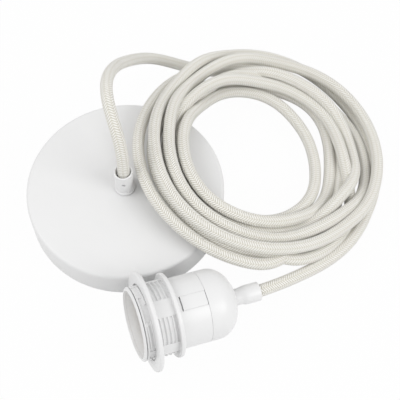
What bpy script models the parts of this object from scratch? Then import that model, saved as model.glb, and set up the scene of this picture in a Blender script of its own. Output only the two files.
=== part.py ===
"""A pendant light, lying as it was put down: ceiling rose, coiled textile cord and lamp holder.

Metres, +Z up. The origin is the centre of the ceiling rose, on the plane of its rim, which is
the plane that the light lies on here and the ceiling when it is hung. Seen from the front, +X
is to the right and +Y is away.
"""

import math

import bmesh
import bpy
import numpy as np
from mathutils import Matrix, Vector

MM = 0.001
SEAT = 0.3 * MM  # gap between two pieces that rest on each other
CLEAR = 0.35 * MM  # gap round what passes through a hole

# Cord
CORD_RADIUS = 3.65 * MM
CORE_RADIUS = 1.1 * MM

# Ceiling rose: a pressed steel cup over a fixing strap
ROSE_RADIUS = 60 * MM
ROSE_HEIGHT = 21.5 * MM
ROSE_WALL = 1.2 * MM
ROSE_EDGE = 2.2 * MM
STRAP_WIDTH = 14 * MM
STRAP_THICKNESS = 1.5 * MM
STRAP_TURN = math.radians(-20)
EAR_HEIGHT = 12.5 * MM
EAR_PLAY = 0.5 * MM
SLOT_LENGTH = 12 * MM
SLOT_WIDTH = 5 * MM
SLOT_REACH = 42 * MM
SIDE_SCREW_RADIUS = 1.6 * MM
SIDE_SCREW_LENGTH = 6 * MM
SIDE_SCREW_HEIGHT = 8 * MM
SIDE_SCREW_HEAD_RADIUS = 3 * MM
SIDE_SCREW_HEAD = 1.8 * MM
EARTH_SCREW_REACH = -18 * MM
EARTH_SCREW_RADIUS = 1.5 * MM
EARTH_SCREW_HEAD_RADIUS = 3 * MM
EARTH_SCREW_HEAD = 2.4 * MM

# Cord grips, one on the rose and one on the lamp holder
STEM_RADIUS = 4.85 * MM
GRIP_RADIUS = 5.6 * MM
GRIP_MOUTH_FLARE = 0.75 * MM
GRIP_SCREW_HOLE_RADIUS = 1.15 * MM
GRIP_SCREW_RADIUS = 0.85 * MM
GRIP_SCREW_RECESS = 0.6 * MM
NUT_FLATS = 13 * MM
NUT_HEIGHT = 3 * MM
WASHER_RADIUS = 8.5 * MM
WASHER_THICKNESS = 1 * MM
ROSE_GRIP_HEIGHT = 19 * MM
ROSE_COLLAR_RADIUS = 6.3 * MM
ROSE_COLLAR_HEIGHT = 1.8 * MM
ROSE_SCREW_HEIGHT = 11.5 * MM
ROSE_STEM_SPARE = 1 * MM
HOLDER_GRIP_LENGTH = 10 * MM
HOLDER_NECK_LENGTH = 5.6 * MM
HOLDER_STEM_SPARE = 1 * MM

# Terminal block in the rose
BLOCK_REACH = 22 * MM
BLOCK_LENGTH = 16 * MM
BLOCK_BASE_HEIGHT = 9 * MM
BLOCK_TOWER_HEIGHT = 4 * MM
BLOCK_TOWER_RADIUS = 3.2 * MM
POLE_PITCH = 8 * MM
POLES = 3
BARREL_RADIUS = 2.3 * MM
BARREL_WALL = 0.8 * MM
BARREL_HEIGHT = 5 * MM
BARREL_LENGTH = 13 * MM
TERMINAL_SCREW_RADIUS = 1.4 * MM

# Lamp holder, along its own axis from the mouth
HOLDER_AT = Vector((15.2 * MM, -88.9 * MM))  # where the shade ring stands
HOLDER_YAW = math.radians(19)
HOLDER_PITCH = math.radians(8)
BODY_RADIUS = 20.3 * MM
BODY_WALL = 1.4 * MM
LINER_RADIUS = BODY_RADIUS - BODY_WALL - SEAT
LINER_WALL = 0.8 * MM
LINER_LENGTH = 31 * MM
COLLAR_RADIUS = LINER_RADIUS + 2.8 * MM
COLLAR_THICKNESS = 1.5 * MM
COLLAR_TAPER = 0.4 * MM
COLLAR_LIP = 0.4 * MM
COLLAR_BEVEL_DEPTH = 1.1 * MM
PARTING = 0.5 * MM  # the thin dark line behind the collar
SKIRT_WALL = 1.9 * MM
SKIRT_BORE = LINER_RADIUS + SEAT
THREAD_DEPTH = 0.7 * MM
THREAD_PITCH = 2.4 * MM
THREAD_TURNS = 7
THREAD_LAND = 0.6 * MM
THREAD_FLATS = 5
FLAT_DEPTH = 0.15 * MM
FLAT_AZIMUTH = math.radians(5.5)
THREAD_ROOT = SKIRT_BORE + SKIRT_WALL
THREAD_CREST = THREAD_ROOT + THREAD_DEPTH
FLANGE_RADIUS = BODY_RADIUS + 4 * MM
FLANGE_THICKNESS = 2.4 * MM
SEAT_STEP = 0.3 * MM  # a low step in front of the flange, as wide as the thread
SKIRT_LENGTH = 39.5 * MM
LATCH_WIDTH = 9 * MM
LATCH_GAP = 0.9 * MM
LATCH_LAND = 1.9 * MM  # from the flange to the latch
RING_PLAY = 0.4 * MM
RING_BORE = THREAD_CREST + RING_PLAY
RING_RADIUS = RING_BORE + 6.9 * MM
RING_THICKNESS = 2.6 * MM
RING_STATION = 7.3 * MM
CAP_WALL = 1.7 * MM
CAP_STRAIGHT = 5.5 * MM
DOME_LENGTH = 15 * MM
DOME_POWER = 2.2
DOME_SEAT_RADIUS = 8.3 * MM
SPIGOT_LENGTH = 4.8 * MM
SPIGOT_WALL = 1.4 * MM
INSERT_STATION = 14 * MM
INSERT_LENGTH = 20 * MM
INSERT_WALL = 3 * MM
INSERT_FLOOR = 4 * MM
SHELL_SHEET = 0.4 * MM
SHELL_WAVE = 0.7 * MM
SHELL_PITCH = 3.62 * MM
SHELL_LENGTH = 15.3 * MM
SHELL_MOUTH = 6 * MM
CONTACT_HEAD_RADIUS = 4.4 * MM
CONTACT_HEAD = 2.2 * MM
CONTACT_STEM_RADIUS = 1.8 * MM
TERMINAL_SIDE = 6 * MM
TERMINAL_REACH = 7.5 * MM
HOLDER_SCREW_LENGTH = 3.4 * MM

# Coil: the outer shape of the wound cord, leaning on the rose's rim and on the ground
COIL_CENTRE = Vector((80.5 * MM, 22 * MM))
COIL_OUTER = 76.5 * MM
COIL_INNER = 40 * MM
COIL_THICKNESS = 17 * MM
COIL_CORNER = 6 * MM
COIL_DOWN = math.radians(18)  # the way the coil slopes down

# Routes of the cord where it isn't coiled, in millimetres
ARCH_ROUTE = (
    (0, 0, 28),
    (0.3, 0.3, 42),
    (0.8, 5, 57),
    (-1.2, 14, 69.5),
    (-4.5, 27, 75.5),
    (-7.8, 43, 73),
    (-10, 61, 60),
    (-9.8, 76, 44.5),
    (-6, 88, 31),
    (2.5, 97.5, 19),
    (14, 101, 12.5),
    (26, 98, 11),
    (36, 91.5, 12),
    (44.5, 84, 13),
)
EXIT_ROUTE = (
    (87.2, -63.4, 17.6),
    (93.8, -60, 16.2),
    (101, -56.4, 15),
    (107.3, -52.8, 14),
    (113.3, -49.4, 13.2),
    (119, -46.1, 12.5),
)


def clear_scene():
    for obj in list(bpy.data.objects):
        bpy.data.objects.remove(obj, do_unlink=True)


def new_collection(name):
    collection = bpy.data.collections.new(name)
    bpy.context.scene.collection.children.link(collection)
    return collection


def new_material(name, colour, roughness, metallic=0.0):
    material = bpy.data.materials.new(name)
    material.use_nodes = True
    shader = material.node_tree.nodes["Principled BSDF"]
    shader.inputs["Base Color"].default_value = (*colour, 1)
    shader.inputs["Roughness"].default_value = roughness
    shader.inputs["Metallic"].default_value = metallic
    return material


def new_frame(name, location, axes):
    """An empty at location whose X, Y and Z are the three axes given."""
    empty = bpy.data.objects.new(name, None)
    PARTS.objects.link(empty)
    turn = Matrix(axes).transposed().to_4x4()
    empty.matrix_world = Matrix.Translation(location) @ turn
    return empty


def add_piece(name, data, material, parent=None, matrix=None):
    """One sub-part, placed by its location and rotation under its parent."""
    piece = bpy.data.objects.new(name, data)
    PARTS.objects.link(piece)
    data.materials.append(material)
    piece.parent = parent
    piece.matrix_local = matrix or Matrix()
    return piece


def add_cutter(name, data, parent=None, matrix=None):
    cutter = bpy.data.objects.new(name, data)
    CUTTERS.objects.link(cutter)
    cutter.parent = parent
    cutter.matrix_local = matrix or Matrix()
    cutter.hide_render = True
    cutter.display_type = "WIRE"
    return cutter


def combine(piece, other, operation="DIFFERENCE"):
    boolean = piece.modifiers.new(other.name, "BOOLEAN")
    boolean.operation = operation
    boolean.object = other


def shifted(x=0.0, y=0.0, z=0.0):
    return Matrix.Translation((x, y, z))


def facing(direction, centre=(0, 0, 0)):
    """The place of a shape whose own +Z looks along direction, and +Y upwards."""
    turn = Vector(direction).to_track_quat("Z", "Y").to_matrix().to_4x4()
    return Matrix.Translation(centre) @ turn


def box_mesh(name, size, centres=((0, 0, 0),)):
    """Boxes of one size, one at each centre."""
    bm = bmesh.new()
    for centre in centres:
        made = bmesh.ops.create_cube(bm, size=1)["verts"]
        bmesh.ops.scale(bm, vec=size, verts=made)
        bmesh.ops.translate(bm, vec=centre, verts=made)
    return mesh_from(bm, name)


def rod_mesh(name, radius, length, sides=24, centres=((0, 0, 0),)):
    """Rods along Z of one size, one at each centre."""
    bm = bmesh.new()
    for centre in centres:
        made = bmesh.ops.create_cone(
            bm, cap_ends=True, segments=sides, radius1=radius, radius2=radius, depth=length
        )["verts"]
        bmesh.ops.translate(bm, vec=centre, verts=made)
    return mesh_from(bm, name)


def mesh_from(bm, name):
    mesh = bpy.data.meshes.new(name)
    bm.to_mesh(mesh)
    bm.free()
    mesh.shade_smooth()
    mesh.set_sharp_from_angle(angle=math.radians(35))
    return mesh


def filleted(corners, arc_steps=3):
    """Points round a closed outline of corners (radius, height) or (radius, height, fillet)."""
    outline = []
    for i, corner in enumerate(corners):
        here = Vector(corner[:2])
        if len(corner) == 2:
            outline.append(tuple(here))
            continue
        back = (Vector(corners[i - 1][:2]) - here).normalized()
        ahead = (Vector(corners[(i + 1) % len(corners)][:2]) - here).normalized()
        half_angle = back.angle(ahead) / 2
        centre = here + (back + ahead).normalized() * corner[2] / math.sin(half_angle)
        first = here + back * corner[2] / math.tan(half_angle) - centre
        last = here + ahead * corner[2] / math.tan(half_angle) - centre
        start = math.atan2(first.y, first.x)
        sweep = (math.atan2(last.y, last.x) - start + math.pi) % math.tau - math.pi
        for step in range(arc_steps + 1):
            angle = start + sweep * step / arc_steps
            outline.append(tuple(centre + corner[2] * Vector((math.cos(angle), math.sin(angle)))))
    return outline


def turned(name, profile, material, steps, parent=None, matrix=None):
    """A profile of (radius, height) points turned round Z. It is closed, by the axis if it starts there."""
    points = [Vector((radius, 0, height)) for radius, height in profile]
    area = sum(a.x * b.z - b.x * a.z for a, b in zip(points, points[1:] + points[:1]))
    if area > 0:
        points.reverse()
    bm = bmesh.new()
    rim = [bm.verts.new(point) for point in points]
    ends = zip(rim, rim[1:] + rim[:1])
    for a, b in ends:
        if a.co.x > 0 or b.co.x > 0:
            bm.edges.new((a, b))
    mesh = bpy.data.meshes.new(name)
    bm.to_mesh(mesh)
    bm.free()
    piece = add_piece(name, mesh, material, parent, matrix)
    screw = piece.modifiers.new("turn", "SCREW")
    screw.axis = "Z"
    screw.angle = math.tau
    screw.steps = steps
    screw.render_steps = steps
    screw.use_merge_vertices = True
    screw.merge_threshold = 0.00001
    screw.use_smooth_shade = False
    return piece


def smooth_route(points, spacing):
    """Points about one spacing apart on a smooth curve through the route's points."""
    route = [Vector(point) for point in points]
    route = [2 * route[0] - route[1], *route, 2 * route[-1] - route[-2]]
    curve = []
    for before, start, end, after in zip(route, route[1:], route[2:], route[3:]):
        count = max(1, round((end - start).length / spacing))
        for step in range(count):
            t = step / count
            curve.append(
                0.5
                * (
                    2 * start
                    + (end - before) * t
                    + (2 * before - 5 * start + 4 * end - after) * t**2
                    + (3 * start - before - 3 * end + after) * t**3
                )
            )
    return [*curve, route[-2]]


def tube(name, points, radius, material, parent=None, resolution=2):
    """A round cord or wire along points, with closed ends."""
    curve = bpy.data.curves.new(name, "CURVE")
    curve.dimensions = "3D"
    curve.bevel_depth = radius
    curve.bevel_resolution = resolution
    curve.use_fill_caps = True
    spline = curve.splines.new("POLY")
    spline.points.add(len(points) - 1)
    for point, place in zip(spline.points, points):
        point.co = (*place, 1)
    return add_piece(name, curve, material, parent)


def grip_profile(stem_end, seat, top, collar=()):
    """A cord grip: a stem that passes through the wall, and a sleeve, with a collar where it has one."""
    bore = CORD_RADIUS + CLEAR
    return filleted(
        (
            (bore, stem_end),
            (STEM_RADIUS, stem_end),
            (STEM_RADIUS, seat),
            *collar,
            *(() if collar else [(GRIP_RADIUS, seat)]),
            (GRIP_RADIUS, top, 0.3 * MM),
            (bore + GRIP_MOUTH_FLARE, top),
            (bore, top - 3 * GRIP_MOUTH_FLARE),
        )
    )


def grip_screw(name, axis_point, outward, parent):
    """The small screw that pinches the cord, sunk in the side of the grip, and its hole."""
    bore = CORD_RADIUS + CLEAR
    outer = GRIP_RADIUS - GRIP_SCREW_RECESS
    outward = Vector(outward)
    hole = add_cutter(
        name + "_hole",
        rod_mesh(name + "_hole", GRIP_SCREW_HOLE_RADIUS, 2 * GRIP_RADIUS, 16),
        parent,
        facing(outward, Vector(axis_point) + outward * GRIP_RADIUS),
    )
    screw = add_piece(
        name,
        rod_mesh(name, GRIP_SCREW_RADIUS, outer - bore, 16),
        STEEL,
        parent,
        facing(outward, Vector(axis_point) + outward * (outer + bore) / 2),
    )
    return hole, screw


def hex_nut(name, height, parent):
    """A hexagon nut on a grip's stem, with its lower face at height."""
    centre = shifted(z=height + NUT_HEIGHT / 2)
    corner = NUT_FLATS / math.sqrt(3)
    nut = add_piece(name, rod_mesh(name, corner, NUT_HEIGHT, 6), ZINC, parent, centre)
    hole = rod_mesh(name + "_hole", STEM_RADIUS + CLEAR, 2 * NUT_HEIGHT, 32)
    combine(nut, add_cutter(name + "_hole", hole, parent, centre))
    return nut


def rose_cup():
    """The pressed cup: flat face, rounded edge, straight wall, with a hole for the grip."""
    inner = ROSE_RADIUS - ROSE_WALL
    under = ROSE_HEIGHT - ROSE_WALL
    hole = STEM_RADIUS + CLEAR
    profile = filleted(
        (
            (hole, ROSE_HEIGHT),
            (ROSE_RADIUS, ROSE_HEIGHT, ROSE_EDGE),
            (ROSE_RADIUS, 0),
            (inner, 0),
            (inner, under, ROSE_EDGE - ROSE_WALL),
            (hole, under),
        )
    )
    cup = turned("rose_cup", profile, PAINT, 64)
    holes = rod_mesh("side_screw_holes", SIDE_SCREW_RADIUS + CLEAR, 3 * ROSE_RADIUS, 16)
    place = facing((1, 0, 0), (0, 0, SIDE_SCREW_HEIGHT))
    cutter = add_cutter("side_screw_holes", holes, STRAP_FRAME, place)
    combine(cup, cutter)
    return cutter


def rose_strap(side_holes):
    """The fixing strap: one bent strip with slots for the ceiling screws and a tapped ear at each end."""
    ear = math.sqrt((ROSE_RADIUS - ROSE_WALL - EAR_PLAY) ** 2 - (STRAP_WIDTH / 2) ** 2)
    half = STRAP_THICKNESS / 2
    bm = bmesh.new()
    bends = ((-ear + half, EAR_HEIGHT), (-ear + half, half), (ear - half, half), (ear - half, EAR_HEIGHT))
    rows = [
        [bm.verts.new((x, side * STRAP_WIDTH / 2, z)) for side in (-1, 1)] for x, z in bends
    ]
    for (a, b), (c, d) in zip(rows, rows[1:]):
        bm.faces.new((a, c, d, b))
    strap = add_piece("rose_strap", mesh_from(bm, "rose_strap"), ZINC, STRAP_FRAME)
    solidify = strap.modifiers.new("sheet", "SOLIDIFY")
    solidify.thickness = STRAP_THICKNESS
    solidify.offset = 0
    solidify.use_even_offset = True
    slot_size = (SLOT_LENGTH, SLOT_WIDTH, 4 * STRAP_THICKNESS)
    slots = box_mesh("strap_slots", slot_size, ((-SLOT_REACH, 0, 0), (SLOT_REACH, 0, 0)))
    combine(strap, add_cutter("strap_slots", slots, STRAP_FRAME))
    earth_hole = rod_mesh("earth_hole", EARTH_SCREW_RADIUS + SEAT, 4 * STRAP_THICKNESS, 16)
    earth_place = shifted(x=EARTH_SCREW_REACH)
    combine(strap, add_cutter("earth_hole", earth_hole, STRAP_FRAME, earth_place))
    combine(strap, side_holes)
    return ear


def rose_screws(ear):
    """The two screws that hold the cup on the strap's ears, and the earth screw on the strap."""
    under_head = ROSE_RADIUS + SEAT
    shank_profile = filleted(
        (
            (0, -SIDE_SCREW_LENGTH),
            (SIDE_SCREW_RADIUS, -SIDE_SCREW_LENGTH),
            (SIDE_SCREW_RADIUS, 0),
            (SIDE_SCREW_HEAD_RADIUS, 0),
            (SIDE_SCREW_HEAD_RADIUS, SIDE_SCREW_HEAD, SIDE_SCREW_HEAD * 0.7),
            (0, SIDE_SCREW_HEAD),
        )
    )
    for number, side in enumerate((1, -1), start=1):
        place = facing((side, 0, 0), (side * under_head, 0, SIDE_SCREW_HEIGHT))
        turned(f"rose_side_screw_{number}", shank_profile, STEEL, 20, STRAP_FRAME, place)
    head_base = STRAP_THICKNESS + SEAT
    earth_profile = filleted(
        (
            (0, SEAT),
            (EARTH_SCREW_RADIUS, SEAT),
            (EARTH_SCREW_RADIUS, head_base),
            (EARTH_SCREW_HEAD_RADIUS, head_base),
            (EARTH_SCREW_HEAD_RADIUS, head_base + EARTH_SCREW_HEAD, EARTH_SCREW_HEAD * 0.5),
            (0, head_base + EARTH_SCREW_HEAD),
        )
    )
    turned("rose_earth_screw", earth_profile, BRASS, 20, STRAP_FRAME, shifted(x=EARTH_SCREW_REACH))


def rose_grip():
    """The rose's cord grip with its pinch screw, washer and nut. Returns the height of the stem's end."""
    seat = ROSE_HEIGHT + SEAT
    washer_top = ROSE_HEIGHT - ROSE_WALL - SEAT
    nut_base = washer_top - WASHER_THICKNESS - SEAT - NUT_HEIGHT
    stem_end = nut_base - ROSE_STEM_SPARE
    collar_top = seat + ROSE_COLLAR_HEIGHT
    collar = (
        (ROSE_COLLAR_RADIUS, seat),
        (ROSE_COLLAR_RADIUS, collar_top, 0.4 * MM),
        (GRIP_RADIUS, collar_top),
    )
    profile = grip_profile(stem_end, seat, seat + ROSE_GRIP_HEIGHT, collar)
    grip = turned("rose_grip", profile, WHITE, 24)
    height = seat + ROSE_SCREW_HEIGHT
    hole, _ = grip_screw("rose_grip_screw", (0, 0, height), (0, -1, 0), None)
    combine(grip, hole)
    washer_hole = STEM_RADIUS + CLEAR
    washer = (
        (washer_hole, washer_top - WASHER_THICKNESS),
        (WASHER_RADIUS, washer_top - WASHER_THICKNESS),
        (WASHER_RADIUS, washer_top),
        (washer_hole, washer_top),
    )
    turned("rose_washer", washer, ZINC, 32)
    hex_nut("rose_nut", nut_base, None)
    return stem_end


def terminal_block():
    """The rose's terminal block, with a brass barrel and a screw for each pole."""
    base = STRAP_THICKNESS + SEAT
    rows = [(i - (POLES - 1) / 2) * POLE_PITCH for i in range(POLES)]
    barrel_height = base + BARREL_HEIGHT
    top = base + BLOCK_BASE_HEIGHT
    size = (BLOCK_LENGTH, POLES * POLE_PITCH, BLOCK_BASE_HEIGHT)
    place = shifted(BLOCK_REACH, 0, base + BLOCK_BASE_HEIGHT / 2)
    block = add_piece("rose_terminal_block", box_mesh("block", size), NYLON, STRAP_FRAME, place)
    towers = rod_mesh(
        "block_towers", BLOCK_TOWER_RADIUS, 2 * BLOCK_TOWER_HEIGHT, 20, [(0, y, 0) for y in rows]
    )
    place = shifted(BLOCK_REACH, 0, top)
    combine(block, add_cutter("block_towers", towers, STRAP_FRAME, place), "UNION")
    bores = rod_mesh(
        "block_bores", BARREL_RADIUS + SEAT, 2 * BLOCK_LENGTH, 20, [(y, 0, 0) for y in rows]
    )
    place = facing((1, 0, 0), (BLOCK_REACH, 0, barrel_height))
    combine(block, add_cutter("block_bores", bores, STRAP_FRAME, place))
    well = TERMINAL_SCREW_RADIUS + SEAT
    depth = top + 2 * BLOCK_TOWER_HEIGHT - barrel_height
    wells = rod_mesh("block_wells", well, depth, 16, [(0, y, 0) for y in rows])
    place = shifted(BLOCK_REACH, 0, barrel_height + depth / 2)
    combine(block, add_cutter("block_wells", wells, STRAP_FRAME, place))
    screw_base = barrel_height + BARREL_RADIUS + SEAT
    screw_length = top - screw_base
    barrel = (
        (BARREL_RADIUS - BARREL_WALL, -BARREL_LENGTH / 2),
        (BARREL_RADIUS, -BARREL_LENGTH / 2),
        (BARREL_RADIUS, BARREL_LENGTH / 2),
        (BARREL_RADIUS - BARREL_WALL, BARREL_LENGTH / 2),
    )
    for number, y in enumerate(rows, start=1):
        place = facing((1, 0, 0), (BLOCK_REACH, y, barrel_height))
        turned(f"rose_terminal_{number}", barrel, BRASS, 20, STRAP_FRAME, place)
        screw = rod_mesh("terminal_screw", TERMINAL_SCREW_RADIUS, screw_length, 12)
        place = shifted(BLOCK_REACH, y, screw_base + screw_length / 2)
        add_piece(f"rose_terminal_screw_{number}", screw, STEEL, STRAP_FRAME, place)
    return rows, barrel_height


def rose_wires(stem_end, rows, barrel_height):
    """Two cores from the cord's end into the block, and the earth wire from the block to its screw."""
    cord_end = stem_end - SEAT
    mouth = BLOCK_REACH - BLOCK_LENGTH / 2
    into = mouth + BARREL_LENGTH / 4
    for name, start, row, colour in (
        ("rose_wire_live", -1, rows[0], BROWN),
        ("rose_wire_neutral", 1, rows[1], BLUE),
    ):
        side = start * (CORE_RADIUS + SEAT)
        route = (
            (0, side, cord_end),
            (0, side, cord_end - 2.2 * MM),
            (0.4 * mouth, side + 0.35 * (row - side), barrel_height + 0.6 * MM),
            (0.75 * mouth, side + 0.85 * (row - side), barrel_height),
            (mouth, row, barrel_height),
            (into, row, barrel_height),
        )
        tube(name, smooth_route(route, 2.5 * MM), CORE_RADIUS, colour, STRAP_FRAME)
    row = rows[2]
    head_height = STRAP_THICKNESS + SEAT + EARTH_SCREW_HEAD / 2
    end = EARTH_SCREW_REACH + EARTH_SCREW_HEAD_RADIUS + SEAT
    route = (
        (into, row, barrel_height),
        (mouth, row, barrel_height),
        (0.5 * mouth, row + 2 * MM, barrel_height),
        (-0.2 * mouth, row + 1 * MM, barrel_height - 1 * MM),
        (0.6 * end, 0.6 * row, head_height + 0.5 * MM),
        (end + 2.5 * MM, 0, head_height),
        (end, 0, head_height),
    )
    tube("rose_wire_earth", smooth_route(route, 2.5 * MM), CORE_RADIUS, EARTH_GREEN, STRAP_FRAME)


def holder_frame():
    """A frame at the holder's mouth: +Z runs back along its axis, and +X is its upper side."""
    back = Vector(
        (
            math.cos(HOLDER_YAW) * math.cos(HOLDER_PITCH),
            math.sin(HOLDER_YAW) * math.cos(HOLDER_PITCH),
            -math.sin(HOLDER_PITCH),
        )
    )
    upper = (Vector((0, 0, 1)) - back * back.z).normalized()
    ring_height = RING_RADIUS * math.cos(HOLDER_PITCH)
    ring_height += RING_THICKNESS / 2 * math.sin(HOLDER_PITCH) + SEAT
    ring_centre = Vector((*HOLDER_AT, ring_height))
    mouth = ring_centre - back * RING_STATION
    return new_frame("holder_frame", mouth, (upper, back.cross(upper), back))


def holder_liner():
    """The liner that holds the contacts, with the bevelled collar round the mouth."""
    inner = LINER_RADIUS - LINER_WALL
    profile = filleted(
        (
            (COLLAR_RADIUS - COLLAR_TAPER - COLLAR_LIP, 0),
            (COLLAR_RADIUS - COLLAR_TAPER, 0),
            (COLLAR_RADIUS, COLLAR_THICKNESS),
            (LINER_RADIUS, COLLAR_THICKNESS),
            (LINER_RADIUS, LINER_LENGTH),
            (inner, LINER_LENGTH),
            (inner, COLLAR_BEVEL_DEPTH),
        )
    )
    turned("holder_liner", profile, WHITE, 40, HOLDER)


def holder_skirt():
    """The skirt: interrupted outer thread, fixed flange, body and the slots of the safety latch."""
    front = COLLAR_THICKNESS + PARTING
    root = THREAD_ROOT
    crest = THREAD_CREST
    outline = [(SKIRT_BORE, front), (root, front)]
    for turn in range(THREAD_TURNS):
        start = front + THREAD_LAND + turn * THREAD_PITCH
        for share, radius in ((0, root), (0.3, crest), (0.6, crest)):
            outline.append((radius, start + share * THREAD_PITCH))
    flange = front + 2 * THREAD_LAND + THREAD_TURNS * THREAD_PITCH
    flange_back = flange + FLANGE_THICKNESS
    outline += [
        (root, flange - SEAT_STEP),
        (crest + SEAT_STEP / 2, flange - SEAT_STEP),
        (crest + SEAT_STEP / 2, flange),
        (FLANGE_RADIUS, flange, 0.7 * MM),
        (FLANGE_RADIUS, flange_back, 0.7 * MM),
        (BODY_RADIUS, flange_back),
        (BODY_RADIUS, SKIRT_LENGTH),
        (SKIRT_BORE, SKIRT_LENGTH),
    ]
    skirt = turned("holder_skirt", filleted(outline, 2), WHITE, 40, HOLDER)

    flat = root - FLAT_DEPTH
    thread_length = flange - front - 2 * SEAT_STEP
    bm = bmesh.new()
    for number in range(THREAD_FLATS):
        made = bmesh.ops.create_cube(bm, size=1)["verts"]
        size = (4 * THREAD_DEPTH, 0.6 * root, thread_length)
        bmesh.ops.scale(bm, vec=size, verts=made)
        middle = front + thread_length / 2
        bmesh.ops.translate(bm, vec=(flat + size[0] / 2, 0, middle), verts=made)
        turn = Matrix.Rotation(FLAT_AZIMUTH + math.tau * number / THREAD_FLATS, 3, "Z")
        bmesh.ops.rotate(bm, matrix=turn, verts=made)
    combine(skirt, add_cutter("thread_flats", mesh_from(bm, "thread_flats"), HOLDER))

    slot_front = flange_back + LATCH_LAND
    slots = box_mesh(
        "latch_slots",
        (4 * SKIRT_WALL, LATCH_WIDTH, LATCH_GAP),
        ((BODY_RADIUS, 0, slot_front + LATCH_GAP / 2), (BODY_RADIUS, 0, SKIRT_LENGTH)),
    )
    turn = Matrix.Rotation(FLAT_AZIMUTH, 4, "Z")
    combine(skirt, add_cutter("latch_slots", slots, HOLDER, turn))


def shade_ring():
    """The loose ring that clamps a shade against the flange."""
    half = RING_THICKNESS / 2
    profile = filleted(
        (
            (RING_BORE, -half, 0.3 * MM),
            (RING_RADIUS, -half, 0.9 * MM),
            (RING_RADIUS, half, 0.9 * MM),
            (RING_BORE, half, 0.3 * MM),
        ),
        2,
    )
    turned("shade_ring", profile, WHITE, 48, HOLDER, shifted(z=RING_STATION))


def dome_points(radius, start, length, end_radius, count=7):
    """The dome's rounded outline from its full radius to end_radius."""
    last = math.acos(end_radius / radius)
    angles = [last * i / (count - 1) for i in range(count)]
    return [
        (radius * math.cos(a), start + length * math.sin(a) ** (2 / DOME_POWER)) for a in angles
    ]


def holder_cap():
    """The domed cap, with a spigot into the skirt. Returns its end and the seat of its nut."""
    front = SKIRT_LENGTH + SEAT
    dome_start = front + CAP_STRAIGHT
    spigot_outer = LINER_RADIUS
    spigot_inner = spigot_outer - SPIGOT_WALL
    hole = STEM_RADIUS + CLEAR
    outer = dome_points(BODY_RADIUS, dome_start, DOME_LENGTH, hole)
    inner_dome = DOME_LENGTH - CAP_WALL
    inner = dome_points(spigot_inner, dome_start, inner_dome, DOME_SEAT_RADIUS)
    seat = inner[-1][1]
    profile = [
        (BODY_RADIUS, front),
        *outer,
        (hole, seat),
        *reversed(inner),
        (spigot_inner, front - SPIGOT_LENGTH),
        (spigot_outer, front - SPIGOT_LENGTH),
        (spigot_outer, front),
    ]
    turned("holder_cap", profile, WHITE, 40, HOLDER)
    return outer[-1][1], seat


def holder_grip(cap_end, nut_seat):
    """The holder's cord grip, its pinch screw and its nut inside the cap."""
    nut_base = nut_seat - SEAT - NUT_HEIGHT
    stem_end = nut_base - HOLDER_STEM_SPARE
    shoulder = cap_end + HOLDER_NECK_LENGTH
    end = shoulder + HOLDER_GRIP_LENGTH
    profile = grip_profile(stem_end, shoulder, end)
    grip = turned("holder_grip", profile, WHITE, 24, HOLDER)
    middle = (0, 0, (shoulder + end) / 2)
    hole, _ = grip_screw("holder_grip_screw", middle, (-1, 0, 0), HOLDER)
    combine(grip, hole)
    hex_nut("holder_nut", nut_base, HOLDER)
    return stem_end, end


def holder_insert():
    """The ceramic insert, the brass screw shell in it and the centre contact through its floor."""
    outer = LINER_RADIUS - LINER_WALL - SEAT
    inner = outer - INSERT_WALL
    back = INSERT_STATION + INSERT_LENGTH
    floor = back - INSERT_FLOOR
    hole = CONTACT_STEM_RADIUS + CLEAR
    profile = filleted(
        (
            (inner, INSERT_STATION),
            (outer, INSERT_STATION, 0.6 * MM),
            (outer, back, 0.6 * MM),
            (hole, back),
            (hole, floor),
            (inner, floor),
        )
    )
    turned("holder_insert", profile, CERAMIC, 32, HOLDER)

    sheet_outer = inner - SEAT
    bottom = floor - SEAT
    start = bottom - SHELL_LENGTH
    samples = round((SHELL_LENGTH - SHELL_SHEET) / SHELL_PITCH * 4)
    stations = np.linspace(start, bottom - SHELL_SHEET, samples + 1)
    wave = [SHELL_WAVE * (math.cos(math.tau * (s - start) / SHELL_PITCH) - 1) for s in stations]
    sheet = [(sheet_outer + w, s) for w, s in zip(wave, stations)]
    profile = [
        *sheet,
        (sheet_outer + wave[-1], bottom),
        (SHELL_MOUTH, bottom),
        (SHELL_MOUTH, bottom - SHELL_SHEET),
        *[(radius - SHELL_SHEET, s) for radius, s in reversed(sheet)],
    ]
    turned("screw_shell", profile, BRASS, 24, HOLDER)

    head = floor - SEAT
    profile = filleted(
        (
            (0, head - CONTACT_HEAD),
            (CONTACT_HEAD_RADIUS, head - CONTACT_HEAD, CONTACT_HEAD * 0.8),
            (CONTACT_HEAD_RADIUS, head),
            (CONTACT_STEM_RADIUS, head),
            (CONTACT_STEM_RADIUS, back),
            (0, back),
        )
    )
    turned("centre_contact", profile, BRASS, 20, HOLDER)
    return back


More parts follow.
